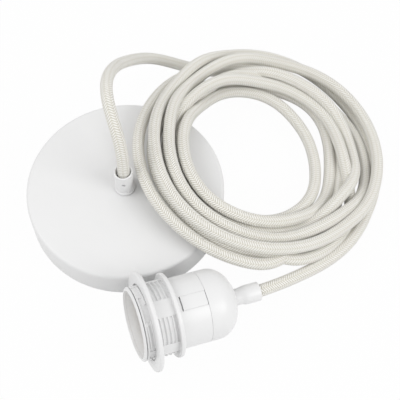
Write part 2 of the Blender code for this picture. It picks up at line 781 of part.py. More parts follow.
def holder_terminals(back, stem_end):
    """A brass terminal with its screw for each core on the insert's back, and the two cores."""
    near = back + SEAT
    far = near + TERMINAL_SIDE
    side = TERMINAL_SIDE
    cord_end = stem_end - SEAT
    for name, sign, colour in (("live", 1, BROWN), ("neutral", -1, BLUE)):
        y = sign * TERMINAL_REACH
        middle = (0, y, (near + far) / 2)
        block = add_piece(
            f"holder_terminal_{name}",
            box_mesh("holder_terminal", (side, side, side)),
            BRASS,
            HOLDER,
            shifted(*middle),
        )
        bore = rod_mesh("terminal_bore", CORE_RADIUS + CLEAR, 1.4 * side, 16)
        place = shifted(0, y, far)
        combine(block, add_cutter(f"terminal_bore_{name}", bore, HOLDER, place))
        outward = Vector((0, sign, 0))
        tap = rod_mesh("terminal_tap", TERMINAL_SCREW_RADIUS + SEAT, side / 2, 16)
        edge = Vector(middle) + outward * side / 2
        combine(block, add_cutter(f"terminal_tap_{name}", tap, HOLDER, facing(outward, edge)))
        screw = rod_mesh("holder_terminal_screw", TERMINAL_SCREW_RADIUS, HOLDER_SCREW_LENGTH, 12)
        seat = edge + outward * (HOLDER_SCREW_LENGTH / 2 - side / 4 + SEAT)
        add_piece(f"holder_terminal_screw_{name}", screw, STEEL, HOLDER, facing(outward, seat))
        start = sign * (CORE_RADIUS + SEAT)
        room = cord_end - far
        route = (
            (0, start, cord_end),
            (0, start, cord_end - 0.2 * room),
            (0, start + 0.5 * (y - start), cord_end - 0.55 * room),
            (0, y, far + 0.15 * room),
            (0, y, far - 0.4 * side),
        )
        tube(f"holder_wire_{name}", smooth_route(route, 2.5 * MM), CORE_RADIUS, colour, HOLDER)


def coil_place():
    """The coil's middle and tilt: its underside clears the rose's rim and comes down to the ground."""
    flat_inner = COIL_INNER + COIL_CORNER * 0.6
    flat_outer = COIL_OUTER - COIL_CORNER
    down = Vector((math.cos(COIL_DOWN), math.sin(COIL_DOWN)))
    leaning = []
    for step in range(720):
        angle = math.tau * step / 720
        rim = ROSE_RADIUS * Vector((math.cos(angle), math.sin(angle)))
        if flat_inner < (rim - COIL_CENTRE).length < flat_outer:
            leaning.append(rim.dot(down))
    if not leaning:
        leaning = [ROSE_RADIUS]
    middle = COIL_CENTRE.dot(down)
    run = middle + flat_outer - max(leaning)
    slope = math.atan((ROSE_HEIGHT + SEAT) / run)
    under = math.tan(slope) * flat_outer
    centre = Vector((*COIL_CENTRE, under + COIL_THICKNESS / 2 / math.cos(slope)))
    forward = Vector((down.x * math.cos(slope), down.y * math.cos(slope), -math.sin(slope)))
    across = Vector((-down.y, down.x, 0))
    return Matrix.Translation(centre) @ Matrix(
        (forward, across, forward.cross(across))
    ).transposed().to_4x4()


def cords(rose_stem_end, holder_stem_end, holder_grip_end):
    """The cord: out of the rose in an arch, wound in the coil, and out of it to the lamp holder."""
    half = COIL_THICKNESS / 2
    section = filleted(
        (
            (COIL_INNER, -half, COIL_CORNER),
            (COIL_OUTER, -half, COIL_CORNER),
            (COIL_OUTER, half, COIL_CORNER),
            (COIL_INNER, half, COIL_CORNER),
        ),
        2,
    )
    turned("cord_coil", section, CORD_CLOTH, 48, None, coil_place())
    spacing = 2 * CORD_RADIUS * 0.8
    arch = [(0, 0, rose_stem_end), *(Vector(point) * MM for point in ARCH_ROUTE)]
    tube("cord_from_rose", smooth_route(arch, spacing), CORD_RADIUS, CORD_CLOTH, None, 3)
    inside = [
        HOLDER.matrix_world @ Vector((0, 0, z))
        for z in (holder_stem_end, (holder_stem_end + holder_grip_end) / 2, holder_grip_end)
    ]
    exit_points = [*inside, *(Vector(point) * MM for point in EXIT_ROUTE)]
    tube("cord_to_holder", smooth_route(exit_points, spacing), CORD_RADIUS, CORD_CLOTH, None, 3)


clear_scene()
PARTS = new_collection("pendant_light")
CUTTERS = new_collection("cutters")

WHITE = new_material("white plastic", (0.86, 0.87, 0.87), 0.35)
PAINT = new_material("white paint on steel", (0.84, 0.85, 0.85), 0.45)
CORD_CLOTH = new_material("ivory braid", (0.80, 0.77, 0.69), 0.85)
ZINC = new_material("zinc plated steel", (0.62, 0.62, 0.60), 0.35, 1.0)
STEEL = new_material("screw steel", (0.55, 0.55, 0.56), 0.30, 1.0)
BRASS = new_material("brass", (0.78, 0.60, 0.30), 0.30, 1.0)
CERAMIC = new_material("ceramic", (0.85, 0.84, 0.80), 0.25)
NYLON = new_material("natural nylon", (0.80, 0.79, 0.74), 0.45)
BROWN = new_material("brown core", (0.22, 0.10, 0.05), 0.5)
BLUE = new_material("blue core", (0.04, 0.12, 0.45), 0.5)
EARTH_GREEN = new_material("earth core", (0.15, 0.45, 0.10), 0.5)

STRAP_FRAME = new_frame(
    "strap_frame",
    (0, 0, 0),
    (
        (math.cos(STRAP_TURN), math.sin(STRAP_TURN), 0),
        (-math.sin(STRAP_TURN), math.cos(STRAP_TURN), 0),
        (0, 0, 1),
    ),
)
HOLDER = holder_frame()
bpy.context.view_layer.update()

ear_reach = rose_strap(rose_cup())
rose_screws(ear_reach)
rose_end = rose_grip()
pole_rows, pole_height = terminal_block()
rose_wires(rose_end, pole_rows, pole_height)

holder_liner()
holder_skirt()
shade_ring()
dome_end, cap_seat = holder_cap()
stem_end_in_cap, grip_end = holder_grip(dome_end, cap_seat)
holder_terminals(holder_insert(), stem_end_in_cap)

cords(rose_end, stem_end_in_cap, grip_end)
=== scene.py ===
# %% [markdown]
# # A pendant light, put down on a white table
#
# The light has three main parts: a ceiling rose, a lamp holder with a ring that screws along its
# thread, and one length of cloth-covered cord between them, wound in a loose coil. The packed
# model holds plain solids of all this. This script loads them as its frame, lays finer pieces
# over the ones that are seen, and gives everything its real surface.

# %% Load the frame
import math

import bmesh
import bpy
import numpy as np
from mathutils import Matrix, Vector


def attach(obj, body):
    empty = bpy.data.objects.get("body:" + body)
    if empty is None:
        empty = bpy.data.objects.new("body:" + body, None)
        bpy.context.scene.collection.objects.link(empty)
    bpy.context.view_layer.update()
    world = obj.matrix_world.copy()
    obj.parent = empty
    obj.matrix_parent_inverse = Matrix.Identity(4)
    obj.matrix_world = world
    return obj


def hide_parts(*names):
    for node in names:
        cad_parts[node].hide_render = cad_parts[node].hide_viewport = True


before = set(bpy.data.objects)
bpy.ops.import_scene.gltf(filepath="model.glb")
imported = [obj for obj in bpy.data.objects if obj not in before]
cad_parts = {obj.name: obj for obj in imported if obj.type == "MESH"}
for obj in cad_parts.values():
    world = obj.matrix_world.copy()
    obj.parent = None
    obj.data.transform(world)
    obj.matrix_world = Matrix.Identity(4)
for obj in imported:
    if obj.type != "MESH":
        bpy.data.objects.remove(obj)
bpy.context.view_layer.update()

# %% [markdown]
# ## Camera
#
# The light is seen from in front and well above, about 63 degrees over the table, and from
# 60 cm away. Setting the camera first means that every piece can be judged in the picture as it
# is made. The lens is given by how many pixels of a 400-pixel picture one unit of slope takes.

# %% Camera
MM = 0.001
PICTURE = 400
PIXELS_PER_SLOPE = 957
CAMERA_PLACE = Vector((45.3, -273.9, 532.7))
CAMERA_TILT = math.radians(27.4)  # up from looking straight down

camera_data = bpy.data.cameras.new("camera")
camera_data.sensor_width = 36
camera_data.lens = PIXELS_PER_SLOPE / PICTURE * camera_data.sensor_width
camera = bpy.data.objects.new("camera", camera_data)
camera.location = CAMERA_PLACE * MM
camera.rotation_euler = (CAMERA_TILT, 0, 0)
bpy.context.collection.objects.link(camera)
bpy.context.scene.camera = camera
bpy.context.scene.view_settings.view_transform = "Standard"
print("lens", round(camera_data.lens, 1), "mm")

# %% [markdown]
# ## Shader maths as expressions
#
# A pattern such as a braid is a formula, and a formula is easier to read as an expression than
# as a picture of nodes. `Value` wraps one socket, and each operator on it adds one Math node.
# `Finish` is a material with one method that makes any node.


# %% Values and finishes
class Value:
    """A number that varies over a surface. Expressions on it add Math nodes to its material."""

    def __init__(self, finish, socket):
        self.finish = finish
        self.socket = socket

    def math(self, operation, *others):
        inputs = dict(enumerate((self, *others)))
        node = self.finish.node("ShaderNodeMath", {"operation": operation}, inputs)
        return Value(self.finish, node.outputs[0])

    def __add__(self, other):
        return self.math("ADD", other)

    def __radd__(self, other):
        return self.math("ADD", other)

    def __sub__(self, other):
        return self.math("SUBTRACT", other)

    def __rsub__(self, other):
        return (self * -1).math("ADD", other)

    def __mul__(self, other):
        return self.math("MULTIPLY", other)

    def __rmul__(self, other):
        return self.math("MULTIPLY", other)

    def __pow__(self, other):
        return self.math("POWER", other)

    def wave(self):
        """0 to 1 and back to 0 as the value goes from one whole number to the next."""
        return (self * math.pi).math("SINE").math("ABSOLUTE")


class Finish:
    """A material with a Principled shader, for one slot of the record."""

    def __init__(self, name, slot, colour, roughness, metallic=0.0):
        self.slot = slot
        self.material = bpy.data.materials.new(name)
        self.material.use_nodes = True
        self.tree = self.material.node_tree
        self.shader = self.tree.nodes["Principled BSDF"]
        self.shader.inputs["Base Color"].default_value = (*colour, 1)
        self.shader.inputs["Roughness"].default_value = roughness
        self.shader.inputs["Metallic"].default_value = metallic

    def node(self, kind, settings=None, inputs=None):
        """A node of a kind, with its settings first and then its sockets, by name or number."""
        node = self.tree.nodes.new(kind)
        for key, setting in (settings or {}).items():
            setattr(node, key, setting)
        self.feed(node, inputs or {})
        return node

    def feed(self, node, inputs):
        for key, given in inputs.items():
            if isinstance(given, Value):
                given = given.socket
            if isinstance(given, bpy.types.NodeSocket):
                self.tree.links.new(given, node.inputs[key])
            else:
                node.inputs[key].default_value = given

    def noise(self, scale, detail=3.0):
        """Noise over the point on the piece, in the frame that all the pieces share."""
        point = self.node("ShaderNodeTexCoord").outputs["Object"]
        inputs = {"Vector": point, "Scale": scale, "Detail": detail}
        return Value(self, self.node("ShaderNodeTexNoise", None, inputs).outputs["Fac"])

    def tint(self, factor, one, other):
        """A colour between one and other."""
        node = self.node("ShaderNodeMix", {"data_type": "RGBA"})
        sockets = {socket.identifier: socket for socket in [*node.inputs, *node.outputs]}
        sockets["A_Color"].default_value = (*one, 1)
        sockets["B_Color"].default_value = (*other, 1)
        self.tree.links.new(factor.socket, sockets["Factor_Float"])
        return sockets["Result_Color"]

    def bump(self, height, depth, strength=1.0):
        inputs = {"Height": height, "Distance": depth, "Strength": strength}
        return self.node("ShaderNodeBump", None, inputs).outputs["Normal"]

    def surface(self, **inputs):
        """Feeds the shader: base_color=..., roughness=..., normal=..."""
        named = {key.replace("_", " ").title(): given for key, given in inputs.items()}
        self.feed(self.shader, named)
        return self


print("helpers ready")

# %% [markdown]
# ## Turned pieces
#
# Most of this light is round: it was pressed, turned or moulded about one axis. So a piece
# starts as its outline, a few corners as (radius, height, rounding). Each corner is rounded with
# a vertex bevel while the outline is still flat, and then the outline is spun all the way round.
# That is quicker than bevelling rims afterwards and gives each corner its own radius.


# %% Outline and spin
SHARP = 32  # degrees between two faces, past which their edge is drawn sharp
ROUNDING_STEPS = 4
MERGE = 0.001  # millimetres


def link(name, mesh, finish, body="pendant"):
    """A finished piece at the origin, riding on a body."""
    piece = bpy.data.objects.new(name, mesh)
    bpy.context.collection.objects.link(piece)
    mesh.materials.append(finish.material)
    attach(piece, body)
    return piece


def to_mesh(bm, name, place=None, sharp=SHARP):
    """A smooth mesh of a bmesh, moved to its place. The bmesh is used up."""
    if place is not None:
        bm.transform(place)
    mesh = bpy.data.meshes.new(name)
    bm.to_mesh(mesh)
    bm.free()
    mesh.shade_smooth()
    mesh.set_sharp_from_angle(angle=math.radians(sharp))
    return mesh


def spun(corners, steps, closed=True):
    """A bmesh: the outline of corners, in millimetres, rounded and spun about Z."""
    bm = bmesh.new()
    rim = [bm.verts.new((corner[0] * MM, 0, corner[1] * MM)) for corner in corners]
    for a, b in zip(rim, rim[1:] + rim[:1] if closed else rim[1:]):
        bm.edges.new((a, b))
    for vert, corner in zip(rim, corners):
        if len(corner) == 3:
            bmesh.ops.bevel(
                bm,
                geom=[vert],
                offset=corner[2] * MM,
                offset_type="OFFSET",
                segments=ROUNDING_STEPS,
                profile=0.5,
                affect="VERTICES",
                material=-1,
            )
    bmesh.ops.spin(
        bm,
        geom=bm.verts[:] + bm.edges[:],
        cent=(0, 0, 0),
        axis=(0, 0, 1),
        angle=math.tau,
        steps=steps,
        use_merge=True,
    )
    bmesh.ops.remove_doubles(bm, verts=bm.verts, dist=MERGE * MM)
    bmesh.ops.recalc_face_normals(bm, faces=bm.faces)
    return bm


def turned(name, corners, finish, replaced, place=None, body="pendant", steps=96):
    """A turned piece, which takes the place of the named solids."""
    piece = link(name, to_mesh(spun(corners, steps), name, place), finish, body)
    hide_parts(*replaced)
    print(name, "faces:", len(piece.data.polygons))
    return piece


# %% [markdown]
# ## Finishes
#
# The rose is powder coated: a satin white with the faint orange peel of baked powder. The holder
# and the grips are moulded plastic, a little smoother. Both are nearly white, so what tells them
# apart is the size of the bump and how tight the gloss is. Neither colour is flat: a slow noise
# shifts it by two or three per cent, as on real white surfaces.


# %% White plastic and white paint
WHITE = (0.81, 0.81, 0.81)
WHITE_SHADE = (0.79, 0.79, 0.79)


def white_finish(name, slot, roughness, grain, grain_depth):
    finish = Finish(name, slot, WHITE, roughness)
    slow = finish.noise(45)
    fine = finish.noise(grain, 2.0)
    return finish.surface(
        base_color=finish.tint(slow, WHITE, WHITE_SHADE),
        roughness=roughness - 0.04 + 0.08 * finish.noise(220),
        normal=finish.bump(fine, grain_depth * MM, 0.5),
    )


plastic = white_finish("moulded white plastic", "white_plastic", 0.34, 2600, 0.012)
paint = white_finish("white powder coat", "rose_paint", 0.46, 1500, 0.03)
print("white finishes made")


# %% [markdown]
# Metals and the small parts inside. The strap and the nuts are zinc plated, with a soft grain
# from the plating bath, the screws are plain steel, and the brass is bright and faintly blotched.
# The ceramic is glazed. On all of them faint patches shift colour and gloss together.


# %% Metals, ceramic and insulation
GRAIN_DEPTH = 0.01


def patchy(finish, colour, shade, roughness, scale, spread, grain):
    """Patches between colour and shade, glossier or duller by spread, and a fine grain."""
    patches = finish.noise(scale)
    return finish.surface(
        base_color=finish.tint(patches, colour, shade),
        roughness=roughness - spread + 2 * spread * patches,
        normal=finish.bump(finish.noise(grain, 2.0), GRAIN_DEPTH * MM, 0.4),
    )


def metal_finish(name, slot, colour, shade, roughness, scale):
    finish = Finish(name, slot, colour, roughness, 1.0)
    return patchy(finish, colour, shade, roughness, scale, 0.08, scale * 9)


def coloured_finish(name, slot, colour, shade, roughness, scale=150):
    finish = Finish(name, slot, colour, roughness)
    return patchy(finish, colour, shade, roughness, scale, 0.05, scale * 8)


zinc = metal_finish("zinc plate", "zinc_plate", (0.66, 0.67, 0.68), (0.52, 0.53, 0.55), 0.34, 260)
steel = metal_finish("screw steel", "screw_steel", (0.62, 0.62, 0.63), (0.50, 0.50, 0.52), 0.28, 500)
brass = metal_finish("bright brass", "brass", (0.80, 0.62, 0.30), (0.70, 0.50, 0.22), 0.26, 200)
ceramic = coloured_finish("glazed ceramic", "ceramic", (0.84, 0.83, 0.79), (0.78, 0.77, 0.72), 0.16)
nylon = coloured_finish("natural nylon", "natural_nylon", (0.82, 0.81, 0.76), (0.74, 0.73, 0.67), 0.42)
brown_core = coloured_finish("brown core", "brown_core", (0.20, 0.085, 0.04), (0.15, 0.06, 0.03), 0.42)
blue_core = coloured_finish("blue core", "blue_core", (0.03, 0.13, 0.46), (0.02, 0.10, 0.38), 0.42)
earth_core = coloured_finish("green earth core", "earth_core", (0.12, 0.42, 0.09), (0.09, 0.34, 0.07), 0.42)
print("metals and insulation made")

# %% [markdown]
# ## The braid
#
# The cord's sleeve is braided in a herringbone: narrow bands run along the cord, and in each the
# threads slant the other way from its neighbours. The pattern must follow the cord through every
# bend, so it is drawn on the cord's own UV map, where U goes round it and V runs along it in
# steps as long as one thread is wide. The colour is ivory on the threads' tops and goes to a
# painted shade, darker and more olive, where the weave is low: in the grooves between threads
# and at the bands' edges. Faint noise adds the yarn's own uneven tone.

# %% Braid finish
BRAID_BANDS = 8
BRAID_THREAD = 1.45  # millimetres along the cord for each thread
BRAID_SLANT = 1.2  # threads' widths that one thread climbs across its band
THREAD_FULLNESS = 0.75  # 1 is a plain wave, and less has a flatter top and narrower grooves
BAND_FULLNESS = 0.4
BAND_EDGE = 0.35  # the share of a thread's height that is left at its band's edge
FUZZ_SHARE = 0.22
# painted shade: the colour where the weave is lowest, in the grooves between threads and at the bands'
# edges
PAINTED_GROOVE_SHADE = (0.57, 0.535, 0.41)
IVORY = (1, 0.99, 0.96)

braid = Finish("ivory braid", "cord_cloth", (0.80, 0.79, 0.75), 0.85)
sides = braid.node("ShaderNodeSeparateXYZ", None, {0: braid.node("ShaderNodeUVMap").outputs[0]})
around = Value(braid, sides.outputs["X"]) * BRAID_BANDS
along = Value(braid, sides.outputs["Y"])
zigzag = (around * 0.5).math("FRACT")
zigzag = (2 * zigzag - 1).math("ABSOLUTE")
thread = (along + BRAID_SLANT * zigzag).wave() ** THREAD_FULLNESS
band = around.wave() ** BAND_FULLNESS
weave = thread * (BAND_EDGE + (1 - BAND_EDGE) * band)
fuzz = braid.noise(1400, 4.0)
slow_shade = braid.noise(60)
# painted shade: the lower the weave, the nearer the colour goes to the groove shade; fuzz and slow noise
# are the yarn's own uneven tone
groove_shade_and_yarn_tone = weave * (1 - FUZZ_SHARE) + fuzz * FUZZ_SHARE + 0.05 * slow_shade
braid.surface(
    base_color=braid.tint(groove_shade_and_yarn_tone, PAINTED_GROOVE_SHADE, IVORY),
    roughness=0.80 + 0.12 * fuzz,
    normal=braid.bump(weave + 0.15 * fuzz, 0.45 * MM, 1.0),
)
braid.shader.inputs["Sheen Weight"].default_value = 0.6
braid.shader.inputs["Sheen Roughness"].default_value = 0.5
print("braid:", BRAID_BANDS, "bands of threads", BRAID_THREAD, "mm wide")

# %% [markdown]
# ## The cord
#
# One length of cord, 7.3 mm thick, leaves the grip on the rose in a springy arch, comes down
# behind the rose, winds seven and a half turns in a loose coil that leans on the rose, and runs
# out to the holder. The turns are not one above the other as on a drum: they wander, cross and
# leave gaps. So for each turn the reach from the coil's middle is given in eight directions,
# with a level for which turn lies over which. They are joined by a smooth curve.

# %% Where the cord goes
CORD = 7.3
RADIUS = CORD / 2

# From the rose up, over and down to the coil, in millimetres
ARCH = (
    (0, 0, 13),
    (0, 0, 28),
    (0.3, 0.3, 42),
    (0, 5, 57),
    (-3.4, 14.5, 69.5),
    (-7.4, 27.5, 75.4),
    (-8.6, 41.5, 73),
    (-7.4, 54, 65),
    (-4.8, 67, 53.5),
    (0, 80, 39.5),
    (7.7, 92, 25.5),
    (16.5, 98.5, 16),
    (26, 99.3, 11.5),
    (35, 96, 11),
)

# Each turn goes clockwise from the back: reach in millimetres, then level, in eight directions
TURNS = (
    ((61, 60, 62, 54.3, 53, 53, 54.8, 53.6), (2, 1, 2, 0.6, 0, 0, 0, 1.3)),
    ((53.7, 57, 55.2, 72.5, 67.5, 64, 64, 60), (2, 1, 1, 0.8, 0.3, 0, 0, 0)),
    ((56.5, 58, 49.8, 49.8, 48.3, 47.3, 46.5, 49.5), (0, 0, 0, 1, 1, 1, 1, 1)),
    ((50.6, 41.2, 38, 42.8, 45.2, 44.8, 47.5, 54), (0, 0, 0, 0, 0, 0, 0, 0.3)),
    ((59, 61, 53, 60.5, 72.4, 72, 73, 72.5), (1, 0, 0, 0, 0, 0, 0, 0)),
    ((69.5, 68.8, 72.6, 62, 57.8, 56.3, 55.4, 61.6), (0, 0, 1, 1, 1, 1, 1, 2)),
    ((73.6, 79.2, 77, 69.2, 66.8, 65, 64.4, 69.4), (2.5, 1, 2, 1.3, 1, 1, 1, 1)),
    ((81.6, 80, 76.6, 76), (1.5, 0, 0, 0)),
)
LEAD_IN = ((77, -5), (70, 0), (64.5, 5.5))  # reach and height, up to the first turn

# Out of the coil and back to the holder
WAY_OUT = (
    (122.5, -43.5, 12.2),
    (118, -46.7, 12.6),
    (113.3, -49.4, 13.2),
    (107.3, -52.8, 14),
    (101, -56.4, 15),
    (93.8, -60, 16.2),
    (87.2, -63.4, 17.6),
)

COIL_MIDDLE = Vector((80.5, 22, 24.1))
COIL_TILT = math.radians(12.19)
COIL_DOWN = math.radians(18)  # the direction in which the coil slopes down
COIL_HALF_HEIGHT = 8.5
print("turns:", len(TURNS) - 0.5)

# %% [markdown]
# Strands can't pass through each other, and working out every height by hand would take all
# day. So the curve is settled: every strand sinks a little, is smoothed a little, and is pushed
# off any other strand that it touches, again and again. In each direction from the middle the
# strands are circles in one upright slice, so it is enough to compare the turns slice by slice.

# %% Settle the coil
SLICES = 48
PER_DIRECTION = SLICES // 8
LEVEL_RISE = CORD * 1.3
ROUNDS = 600

# What each round does: millimetres that a strand sinks, and the shares of the way that it goes
# back to its wanted reach, to its neighbours' middle, and off another strand sideways and upwards
SINK = 0.12
GO_BACK = 0.15
EVEN_OUT = 0.25
PUSH_ASIDE = 0.25
PUSH_UP = 0.5


def through(points, per):
    """A smooth curve through points, with per steps from one to the next."""
    rows = np.array(points, float)
    rows = np.concatenate([[2 * rows[0] - rows[1]], rows, [2 * rows[-1] - rows[-2]]])
    steps = np.arange(per)[:, None] / per if rows.ndim == 2 else np.arange(per) / per
    pieces = []
    for a, b, c, d in zip(rows, rows[1:], rows[2:], rows[3:]):
        curve = 2 * b + (c - a) * steps + (2 * a - 5 * b + 4 * c - d) * steps**2
        pieces.append((curve + (3 * b - a - 3 * c + d) * steps**3) / 2)
    return np.concatenate([*pieces, rows[-2:-1]])


def settle():
    """The coil's points as (direction, reach, height over the plane that the coil lies on)."""
    lead = np.array(LEAD_IN)
    reaches = through([r for turn in TURNS for r in turn[0]], PER_DIRECTION)
    levels = through([level for turn in TURNS for level in turn[1]], PER_DIRECTION)
    wanted = np.concatenate([lead[:, 0], reaches])
    height = np.concatenate([lead[:, 1], RADIUS + LEVEL_RISE * levels])
    start = len(lead)
    floor = np.full(len(height), RADIUS)
    floor[:start] = lead[:, 1]
    reach = wanted.copy()
    for _ in range(ROUNDS):
        height -= SINK
        reach += GO_BACK * (wanted - reach)
        height[1:-1] += EVEN_OUT * ((height[:-2] + height[2:]) / 2 - height[1:-1])
        for apart in range(SLICES, len(height), SLICES):
            side = reach[apart:] - reach[:-apart]
            rise = height[apart:] - height[:-apart]
            distance = np.hypot(side, rise) + 0.001
            push = np.clip(CORD - distance, 0, None) / distance
            reach[apart:] += PUSH_ASIDE * push * side
            reach[:-apart] -= PUSH_ASIDE * push * side
            height[apart:] += PUSH_UP * push * rise
            height[:-apart] -= PUSH_UP * push * rise
        height = np.maximum(height, floor)
        height[: start - 1] = lead[:-1, 1]
        reach[: start - 1] = lead[:-1, 0]
    direction = math.pi / 2 - (np.arange(len(height)) - start) * math.tau / SLICES
    return direction, reach, height


direction, reach, height = settle()
normal = Vector(
    (
        math.sin(COIL_TILT) * math.cos(COIL_DOWN),
        math.sin(COIL_TILT) * math.sin(COIL_DOWN),
        math.cos(COIL_TILT),
    )
)
down_slope = Vector(
    (
        math.cos(COIL_TILT) * math.cos(COIL_DOWN),
        math.cos(COIL_TILT) * math.sin(COIL_DOWN),
        -math.sin(COIL_TILT),
    )
)
level_line = Vector((-math.sin(COIL_DOWN), math.cos(COIL_DOWN), 0))
to_right = down_slope * math.cos(COIL_DOWN) - level_line * math.sin(COIL_DOWN)
to_back = down_slope * math.sin(COIL_DOWN) + level_line * math.cos(COIL_DOWN)
middle = COIL_MIDDLE - normal * COIL_HALF_HEIGHT
coil = [
    middle + to_right * r * math.cos(d) + to_back * r * math.sin(d) + normal * h
    for d, r, h in zip(direction, reach, height)
]
print("coil: highest", round(max(point.z for point in coil), 1), "mm")

# %% [markdown]
# The arch, the coil and the way out are joined in one route. Its end goes into the holder's
# grip, so it needs the holder's own frame. The holder stands on its shade ring, and from its
# mouth the axis runs to the right, 19 degrees round towards the back and 8 degrees down.

# %% The holder's frame and the whole route
HOLDER_YAW = math.radians(19)
HOLDER_PITCH = math.radians(8)
RING_RADIUS = 28.8
RING_THICKNESS = 2.6
RING_STATION = 7.3
RING_PLACE = (15.2, -88.9)
RING_OVER_TABLE = 0.3

backwards = Vector(
    (
        math.cos(HOLDER_YAW) * math.cos(HOLDER_PITCH),
        math.sin(HOLDER_YAW) * math.cos(HOLDER_PITCH),
        -math.sin(HOLDER_PITCH),
    )
)
upper = (Vector((0, 0, 1)) - backwards * backwards.z).normalized()
ring_reach = RING_RADIUS * math.cos(HOLDER_PITCH) + RING_THICKNESS / 2 * math.sin(HOLDER_PITCH)
mouth = Vector((*RING_PLACE, ring_reach + RING_OVER_TABLE)) - backwards * RING_STATION
holder = Matrix.Translation(mouth * MM) @ Matrix(
    (upper, backwards.cross(upper), backwards)
).transposed().to_4x4()


def on_axis(station):
    return mouth + backwards * station


CORD_STOP = 52.6  # the cord's end inside the cap
GRIP_END = 75.4
into_holder = [on_axis(s) for s in (GRIP_END, (GRIP_END + CORD_STOP) / 2, CORD_STOP)]
coarse = [*(Vector(p) for p in ARCH), *coil, *(Vector(p) for p in WAY_OUT), *into_holder]


def travelled(rows):
    """How far along the route each of its points is."""
    return np.concatenate([[0], np.cumsum(np.linalg.norm(np.diff(rows, axis=0), axis=1))])


def evened(rows, spacing):
    """The same route with its points equally far apart."""
    so_far = travelled(rows)
    even = np.linspace(0, so_far[-1], round(so_far[-1] / spacing) + 1)
    return np.stack([np.interp(even, so_far, rows[:, axis]) for axis in range(3)], axis=1)


STEPS_BETWEEN = 6
SPACING = 6  # millimetres between the points that are eased
FINE_STEPS = 3
EASING = (0.5, -0.52) * 14
HELD = 5  # points at each end that keep their places
OVER_TABLE = 0.1


def eased(rows):
    """The route without kinks. Each step in is followed by a longer one out, so turns don't shrink."""
    for share in EASING:
        pull = (rows[:-2] + rows[2:]) / 2 - rows[1:-1]
        rows[HELD:-HELD] += share * pull[HELD - 1 : 1 - HELD]
    rows[:, 2] = np.maximum(rows[:, 2], RADIUS + OVER_TABLE)
    return rows


route = through([tuple(point) for point in coarse], STEPS_BETWEEN)
route = through(eased(evened(route, SPACING)), FINE_STEPS)

# %% [markdown]
# The tube is one ring of vertices carried along the route without twisting, so that the braid's
# bands don't spiral. Each new ring is bridged to the last. The UV map is laid as the rings are
# joined, because U must run from 0 to 1 exactly once round.


# %% Tubes
def tube(name, points, radius, finish, thread, around_steps):
    """A closed round tube along points, with U round it and V along it."""
    points = [Vector(point) * MM for point in points]
    aims = [(b - a).normalized() for a, b in zip(points, points[1:])]
    aims = [aims[0], *((a + b).normalized() for a, b in zip(aims, aims[1:])), aims[-1]]
    side = aims[0].orthogonal().normalized()
    bm = bmesh.new()
    uv = bm.loops.layers.uv.new("UVMap")
    rings = []
    distance = 0.0
    marks = []
    for i, (point, aim) in enumerate(zip(points, aims)):
        side = (side - aim * side.dot(aim)).normalized()
        other = aim.cross(side)
        if i:
            distance += (point - points[i - 1]).length
        marks.append(distance / (thread * MM))
        spokes = [math.tau * k / around_steps for k in range(around_steps)]
        rings.append(
            [
                bm.verts.new(point + (side * math.cos(t) + other * math.sin(t)) * radius * MM)
                for t in spokes
            ]
        )
    for first, second, start, end in zip(rings, rings[1:], marks, marks[1:]):
        for k in range(around_steps):
            face = bm.faces.new(
                (first[k], first[(k + 1) % around_steps], second[(k + 1) % around_steps], second[k])
            )
            corners = ((k, start), (k + 1, start), (k + 1, end), (k, end))
            for loop, (u, v) in zip(face.loops, corners):
                loop[uv].uv = (u / around_steps, v)
    bm.faces.new(reversed(rings[0]))
    bm.faces.new(rings[-1])
    return link(name, to_mesh(bm, name, sharp=60), finish)


CORD_SIDES = 20
cord = tube("cord", route, RADIUS, braid, BRAID_THREAD, CORD_SIDES)
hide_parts("cord_from_rose", "cord_coil", "cord_to_holder")
print("cord faces:", len(cord.data.polygons))

# %% [markdown]
# ## The rose
#
# The cup is one pressing: a flat face, a small rounded edge and a straight wall, open below. Its
# outline has a wall of 1.2 mm, and is drawn from the hole out over the face, down the wall and
# back inside.

# %% The rose's cup
ROSE_RADIUS = 60
ROSE_HEIGHT = 21.5
ROSE_WALL = 1.2
ROSE_HOLE = 5.2

turned(
    "cup",
    (
        (ROSE_HOLE, ROSE_HEIGHT, 0.25),
        (ROSE_RADIUS, ROSE_HEIGHT, 2.2),
        (ROSE_RADIUS, 0, 0.3),
        (ROSE_RADIUS - ROSE_WALL, 0, 0.3),
        (ROSE_RADIUS - ROSE_WALL, ROSE_HEIGHT - ROSE_WALL, 1),
        (ROSE_HOLE, ROSE_HEIGHT - ROSE_WALL),
    ),
    paint,
    ["rose_cup"],
    steps=160,
)

# %% [markdown]
# ## Cord grips
#
# A cord grip is a moulded sleeve with a threaded stem. The sleeve's mouth flares a little so
# that it doesn't cut the braid. A small screw in its side pinches the cord. Its hole is cut with
# a Boolean, which is applied at once, so the finished piece is a plain mesh.


# %% Grips
def cut(piece, *cutters):
    """Cuts closed bmeshes out of a piece."""
    for bm in cutters:
        cutter = bpy.data.objects.new("cutter", to_mesh(bm, "cutter"))
        bpy.context.collection.objects.link(cutter)
        boolean = piece.modifiers.new("cut", "BOOLEAN")
        boolean.solver = "EXACT"
        boolean.object = cutter
        graph = bpy.context.evaluated_depsgraph_get()
        mesh = bpy.data.meshes.new_from_object(piece.evaluated_get(graph))
        piece.modifiers.clear()
        old = piece.data
        piece.data = mesh
        bpy.data.meshes.remove(old)
        bpy.data.objects.remove(cutter)
        piece.data.shade_smooth()
        piece.data.set_sharp_from_angle(angle=math.radians(SHARP))


def facing(aim, centre):
    """The place of a shape whose own +Z looks along aim, centred in millimetres."""
    turn = Vector(aim).to_track_quat("Z", "Y").to_matrix().to_4x4()
    return Matrix.Translation(Vector(centre) * MM) @ turn


